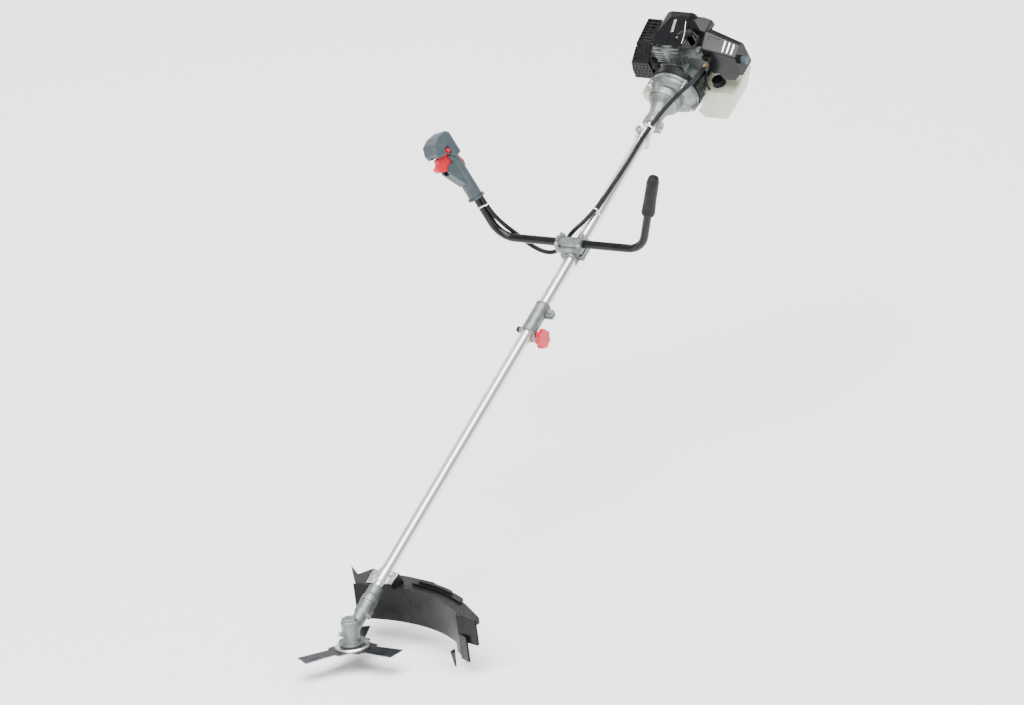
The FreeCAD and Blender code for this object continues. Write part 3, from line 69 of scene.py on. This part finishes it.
def at(u, y, n):
    """Row-frame point from boom station, side and height above the boom's axis, in mm."""
    return GEAR_CENTRE + ALONG * (u / 1000) + SQUARE * (n / 1000) + Vector((0, y / 1000, 0))


# ------------------------------------------------------------------ materials

class Surface:
    """Procedural material: mottled colour, uneven roughness and a fine bump."""

    def __init__(self, name, dark, light, mottle, rough, grain, depth, metal=0.0, stretch=None):
        self.material = bpy.data.materials.new(name)
        self.material.use_nodes = True
        self.tree = self.material.node_tree
        self.shader = self.tree.nodes["Principled BSDF"]
        self.shader.inputs["Metallic"].default_value = metal
        place = self.tree.nodes.new("ShaderNodeTexCoord").outputs["Object"]
        if stretch:
            turn = self.tree.nodes.new("ShaderNodeMapping")
            turn.inputs["Rotation"].default_value = (0, stretch[0], 0)
            turn.inputs["Scale"].default_value = stretch[1]
            self.tree.links.new(place, turn.inputs["Vector"])
            place = turn.outputs["Vector"]
        self.place = place
        blotches = self.noise(mottle, 4.0)
        ramp = self.tree.nodes.new("ShaderNodeValToRGB")
        ramp.color_ramp.elements[0].position = 0.3
        ramp.color_ramp.elements[1].position = 0.7
        ramp.color_ramp.elements[0].color = (*dark, 1)
        ramp.color_ramp.elements[1].color = (*light, 1)
        self.tree.links.new(blotches, ramp.inputs["Fac"])
        self.tree.links.new(ramp.outputs["Color"], self.shader.inputs["Base Color"])
        spread = self.tree.nodes.new("ShaderNodeMapRange")
        spread.inputs["To Min"].default_value = rough[0]
        spread.inputs["To Max"].default_value = rough[1]
        self.tree.links.new(self.noise(mottle * 2.3, 3.0), spread.inputs["Value"])
        self.tree.links.new(spread.outputs["Result"], self.shader.inputs["Roughness"])
        bump = self.tree.nodes.new("ShaderNodeBump")
        bump.inputs["Strength"].default_value = depth
        bump.inputs["Distance"].default_value = 0.0004
        self.tree.links.new(self.noise(grain, 2.0), bump.inputs["Height"])
        self.tree.links.new(bump.outputs["Normal"], self.shader.inputs["Normal"])

    def noise(self, scale, detail):
        node = self.tree.nodes.new("ShaderNodeTexNoise")
        node.inputs["Scale"].default_value = scale
        node.inputs["Detail"].default_value = detail
        self.tree.links.new(self.place, node.inputs["Vector"])
        return node.outputs["Fac"]

    def put(self, socket, value):
        self.shader.inputs[socket].default_value = value
        return self


BOOM_STREAK = (BOOM_RISE, (3.0, 900.0, 900.0))
materials = {
    "bright_aluminium": Surface("bright_aluminium", (0.66, 0.68, 0.69), (0.82, 0.83, 0.84), 1.0,
                                (0.24, 0.36), 1.0, 0.10, 1.0, BOOM_STREAK),
    "cast_aluminium": Surface("cast_aluminium", (0.13, 0.15, 0.145), (0.25, 0.275, 0.265), 60.0,
                              (0.38, 0.55), 900.0, 0.35, 0.85),
    "zinc_steel": Surface("zinc_steel", (0.52, 0.52, 0.50), (0.70, 0.69, 0.66), 90.0,
                          (0.24, 0.40), 1500.0, 0.12, 1.0),
    "dark_steel": Surface("dark_steel", (0.020, 0.023, 0.027), (0.060, 0.064, 0.070), 35.0,
                          (0.30, 0.48), 1200.0, 0.15, 0.8),
    "black_steel": Surface("black_steel", (0.004, 0.004, 0.005), (0.009, 0.009, 0.010), 40.0,
                           (0.12, 0.22), 700.0, 0.06).put("Specular IOR Level", 0.25),
    "black_plastic": Surface("black_plastic", (0.005, 0.005, 0.006), (0.011, 0.011, 0.012), 50.0,
                             (0.26, 0.42), 1600.0, 0.20).put("Specular IOR Level", 0.14),
    "gloss_black_plastic": Surface("gloss_black_plastic", (0.004, 0.004, 0.005), (0.009, 0.009, 0.010),
                                   40.0, (0.12, 0.24), 900.0, 0.08).put("Specular IOR Level", 0.2),
    "grey_plastic": Surface("grey_plastic", (0.030, 0.043, 0.050), (0.046, 0.062, 0.070), 60.0,
                            (0.32, 0.46), 1800.0, 0.30).put("Specular IOR Level", 0.4),
    "red_plastic": Surface("red_plastic", (0.40, 0.004, 0.012), (0.56, 0.008, 0.018), 70.0,
                           (0.20, 0.32), 1200.0, 0.08),
    "black_rubber": Surface("black_rubber", (0.005, 0.005, 0.006), (0.012, 0.012, 0.013), 80.0,
                            (0.40, 0.58), 1300.0, 0.30).put("Specular IOR Level", 0.18),
    "brass": Surface("brass", (0.48, 0.33, 0.12), (0.72, 0.54, 0.25), 120.0,
                     (0.24, 0.38), 1400.0, 0.10, 1.0),
    "tank_plastic": Surface("tank_plastic", (0.66, 0.72, 0.56), (0.80, 0.85, 0.72), 18.0,
                            (0.34, 0.46), 300.0, 0.12
                            ).put("Transmission Weight", 0.45).put("IOR", 1.4),
    "white_nylon": Surface("white_nylon", (0.78, 0.78, 0.75), (0.88, 0.88, 0.86), 90.0,
                           (0.36, 0.48), 1500.0, 0.12),
    "filter_foam": Surface("filter_foam", (0.015, 0.015, 0.015), (0.07, 0.07, 0.07), 700.0,
                           (0.80, 0.95), 900.0, 0.90),
    "clear_rubber": Surface("clear_rubber", (0.62, 0.56, 0.44), (0.74, 0.68, 0.58), 60.0,
                            (0.20, 0.32), 900.0, 0.08).put("Transmission Weight", 0.6),
}


def dress(obj, slot):
    obj.data.materials.clear()
    obj.data.materials.append(materials[slot].material)


for name, obj in nodes.items():
    obj.data.materials.clear()
    obj.data.materials.append(materials[slot_of[name]].material)


# ----------------------------------------------------- softened moulded pieces

def softened(node, width, segments=3, edge_slot=None):
    """A copy of a CAD node whose sharp edges are rounded off, standing for that node."""
    source = nodes[node]
    mesh = source.data.copy()
    work = bmesh.new()
    work.from_mesh(mesh)
    bmesh.ops.remove_doubles(work, verts=work.verts, dist=1e-6)
    bmesh.ops.dissolve_limit(work, angle_limit=math.radians(0.6), verts=work.verts, edges=work.edges)
    work.to_mesh(mesh)
    work.free()
    mesh.name = node + "_soft"
    piece = bpy.data.objects.new(node + "_soft", mesh)
    bpy.context.scene.collection.objects.link(piece)
    dress(piece, slot_of[node])
    bevel = piece.modifiers.new("edges", "BEVEL")
    bevel.width = width
    bevel.segments = segments
    bevel.limit_method = "ANGLE"
    bevel.angle_limit = math.radians(32)
    bevel.use_clamp_overlap = True
    bevel.harden_normals = False
    if edge_slot:
        piece.data.materials.append(materials[edge_slot].material)
        bevel.material = 1
    for face in mesh.polygons:
        face.use_smooth = True
    smooth = piece.modifiers.new("shade", "WEIGHTED_NORMAL")
    smooth.keep_sharp = True
    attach(piece, body_of[node])
    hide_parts(node)
    return piece


# ------------------------------------------------------- painted highlight strips on the moulded covers, and the cable

def slab(name, corners, lift, thickness, node, slot):
    """Thin plate over four corner points, raised along its own normal, riding with a node's body."""
    work = bmesh.new()
    normal = (corners[1] - corners[0]).cross(corners[3] - corners[0]).normalized()
    low = [work.verts.new(c + normal * lift) for c in corners]
    high = [work.verts.new(c + normal * (lift + thickness)) for c in corners]
    work.faces.new(low[::-1])
    work.faces.new(high)
    for i in range(4):
        j = (i + 1) % 4
        work.faces.new((low[i], low[j], high[j], high[i]))
    mesh = bpy.data.meshes.new(name)
    work.to_mesh(mesh)
    work.free()
    piece = bpy.data.objects.new(name, mesh)
    bpy.context.scene.collection.objects.link(piece)
    soft = piece.modifiers.new("edges", "BEVEL")
    soft.width = min(thickness / 3, 0.0003)
    soft.segments = 2
    dress(piece, slot)
    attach(piece, body_of[node])
    return piece


def cord(name, points, radius, node, slot):
    """Thin round line through given points, riding with a node's body."""
    curve = bpy.data.curves.new(name, "CURVE")
    curve.dimensions = "3D"
    curve.bevel_depth = radius
    curve.bevel_resolution = 3
    curve.use_fill_caps = True
    line = curve.splines.new("POLY")
    line.points.add(len(points) - 1)
    for point, place in zip(line.points, points):
        point.co = (*place, 1)
    piece = bpy.data.objects.new(name, curve)
    bpy.context.scene.collection.objects.link(piece)
    dress(piece, slot)
    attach(piece, body_of[node])
    return piece


CABLE_ROUTE = [(1215.19, 215.58, 128.31), (1204.78, 199.84, 90.79), (1203, 177, 52), (1208, 157, 17),
               (1205, 130, -14), (1204, 96, -31), (1208, 64, -24), (1219, 41, 0), (1232, 21, 20),
               (1256, 4, 25), (1300, -5, 22), (1372, -12, 21), (1450, -14, 18), (1520, -14, 18.5),
               (1568, -16, 17), (1605, -23, 19), (1634, -42, 31), (1660, -66, 45), (1688, -86, 52),
               (1714, -91, 50), (1736, -88, 46)]


def routed(node, route, diameter):
    """Cord along a route of control points, standing for a CAD cord that is held at both ends."""
    curve = bpy.data.curves.new(node + "_line", "CURVE")
    curve.dimensions = "3D"
    curve.bevel_depth = diameter / 2
    curve.bevel_resolution = 6
    curve.resolution_u = 12
    curve.use_fill_caps = True
    line = curve.splines.new("NURBS")
    line.points.add(len(route) - 1)
    for point, place in zip(line.points, route):
        point.co = (*at(*place), 1)
    line.order_u = 3
    line.use_endpoint_u = True
    piece = bpy.data.objects.new(node + "_line", curve)
    bpy.context.scene.collection.objects.link(piece)
    dress(piece, slot_of[node])
    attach(piece, body_of[node])
    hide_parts(node)
    return piece


def filter_front(y):
    """Lower and upper end of the filter box's sloping top, across the box at one side position."""
    part = (y + 91.4) / -76.6
    return (1754 + 3 * part, 90 - 24 * part), (1792 - 2 * part, 108 - 34 * part)


def filter_rib_highlight(index, y):
    """Painted highlight: silver strip along one raised bar of the filter box, where light catches the
    rib.
    """
    corners = []
    for side, inner in ((y + 0.6, 0.16), (y + 3.4, 0.16), (y + 3.4, 0.90), (y + 0.6, 0.90)):
        (u0, n0), (u1, n1) = filter_front(side)
        corners.append(at(u0 + (u1 - u0) * inner, side, n0 + (n1 - n0) * inner))
    slab("filter_stripe_%d" % index, corners[::-1], 0.0011, 0.0003, "filter_cover", "zinc_steel")


def hood_ramp(u):
    """Height of the hood's ramp at a boom station."""
    return 103 + (u - 1752) * 23 / 60


# --------------------------------------------------------- camera, floor, light

def look_from():
    """Camera 20 degrees above level at the blade end, a long way off and a little rolled."""
    back = Vector((-0.7713, -0.5367, 0.3421)).normalized()
    right = Vector((0.5273, -0.8399, -0.1287))
    right = (right - back * right.dot(back)).normalized()
    up = back.cross(right)
    middle = GEAR_CENTRE + right * (160 * PIXEL) + up * (277.5 * PIXEL) - back * MID_DEPTH
    distance = 60.0
    data = bpy.data.cameras.new("camera")
    data.lens = data.sensor_width * distance / (1024 * PIXEL)
    data.clip_end = 500
    camera = bpy.data.objects.new("camera", data)
    turn = Matrix((right, up, back)).transposed().to_4x4()
    camera.matrix_world = Matrix.Translation(middle + back * distance) @ turn
    bpy.context.scene.collection.objects.link(camera)
    bpy.context.scene.camera = camera


def pale_floor():
    mesh = bpy.data.meshes.new("floor")
    z = cad_box[0][2] - 0.002
    reach = 60
    mesh.from_pydata([(-reach, -reach, z), (reach, -reach, z), (reach, reach, z), (-reach, reach, z)],
                     [], [(0, 1, 2, 3)])
    floor = bpy.data.objects.new("floor", mesh)
    bpy.context.scene.collection.objects.link(floor)
    paint = bpy.data.materials.new("floor")
    paint.use_nodes = True
    shader = paint.node_tree.nodes["Principled BSDF"]
    shader.inputs["Base Color"].default_value = (0.98, 0.98, 0.98, 1)
    shader.inputs["Roughness"].default_value = 0.9
    floor.data.materials.append(paint)


def light(name, place, aim, size, power):
    data = bpy.data.lights.new(name, "AREA")
    data.shape = "RECTANGLE"
    data.size = size[0]
    data.size_y = size[1]
    data.energy = power
    lamp = bpy.data.objects.new(name, data)
    lamp.location = place
    lamp.rotation_euler = (Vector(aim) - Vector(place)).to_track_quat("-Z", "Y").to_euler()
    bpy.context.scene.collection.objects.link(lamp)


def studio():
    world = bpy.data.worlds.new("studio")
    world.use_nodes = True
    background = world.node_tree.nodes["Background"]
    background.inputs["Color"].default_value = (1, 1, 1, 1)
    background.inputs["Strength"].default_value = 0.7
    bpy.context.scene.world = world
    light("over", (-0.8, -0.6, 3.6), (-0.6, 0, -0.3), (3.0, 1.2), 60)
    light("left", (-3.4, 0.8, 1.6), (-0.6, 0, -0.3), (0.8, 2.0), 40)
    light("front", (-1.8, -3.6, 1.2), (-0.6, 0, -0.3), (0.8, 1.2), 25)
    light("back", (1.5, 3.0, 1.8), (-0.4, 0, -0.3), (2.0, 1.0), 30)
    sun = bpy.data.lights.new("sky", "SUN")
    sun.energy = 7.0
    sun.angle = math.radians(60)
    sky = bpy.data.objects.new("sky", sun)
    sky.rotation_euler = (math.radians(14), math.radians(-18), 0)
    bpy.context.scene.collection.objects.link(sky)


look_from()
pale_floor()
studio()

MOULDED_EDGE = 0.0008       # metres of rounding on cast and moulded edges
for name in ("muffler_guard", "cylinder_cover", "fan_housing", "filter_cover", "starter_housing",
             "clutch_housing", "throttle_shell_inner", "throttle_shell_outer", "throttle_trigger",
             "throttle_lockout", "stop_switch", "boom_clamp", "clamp_cap", "guard_clamp",
             "fuel_tank", "crankcase", "carburettor", "filter_base", "starter_handle", "choke_lever"):
    softened(name, MOULDED_EDGE)
softened("coupler_knob", 0.0012)
softened("guard", 0.0009)
softened("blade", 0.0006, 2, "bright_aluminium")

# Painted highlights: silver strips laid on the filter box's ribs.
for index, side in enumerate((-160, -150, -140)):
    filter_rib_highlight(index, side)
# Painted highlight: a bright aluminium strip sunk in the hood's slot, where light catches the louvre.
slab("hood_slot_highlight", [at(1779, -11.2, hood_ramp(1779)), at(1807, -11.2, hood_ramp(1807)),
                          at(1807, -4.8, hood_ramp(1807)), at(1779, -4.8, hood_ramp(1779))],
     -0.0022, 0.0008, "cylinder_cover", "bright_aluminium")
# Painted highlight: a white line half-sunk along the hood's edge, where light catches it.
cord("hood_edge_highlight", [at(1753, -43.6, hood_ramp(1753)), at(1775, -43.6, hood_ramp(1775)),
                   at(1804, -37.2, hood_ramp(1804) - 0.6)], 0.0007, "cylinder_cover", "white_nylon")

routed("cable_sleeve", CABLE_ROUTE, 0.010)
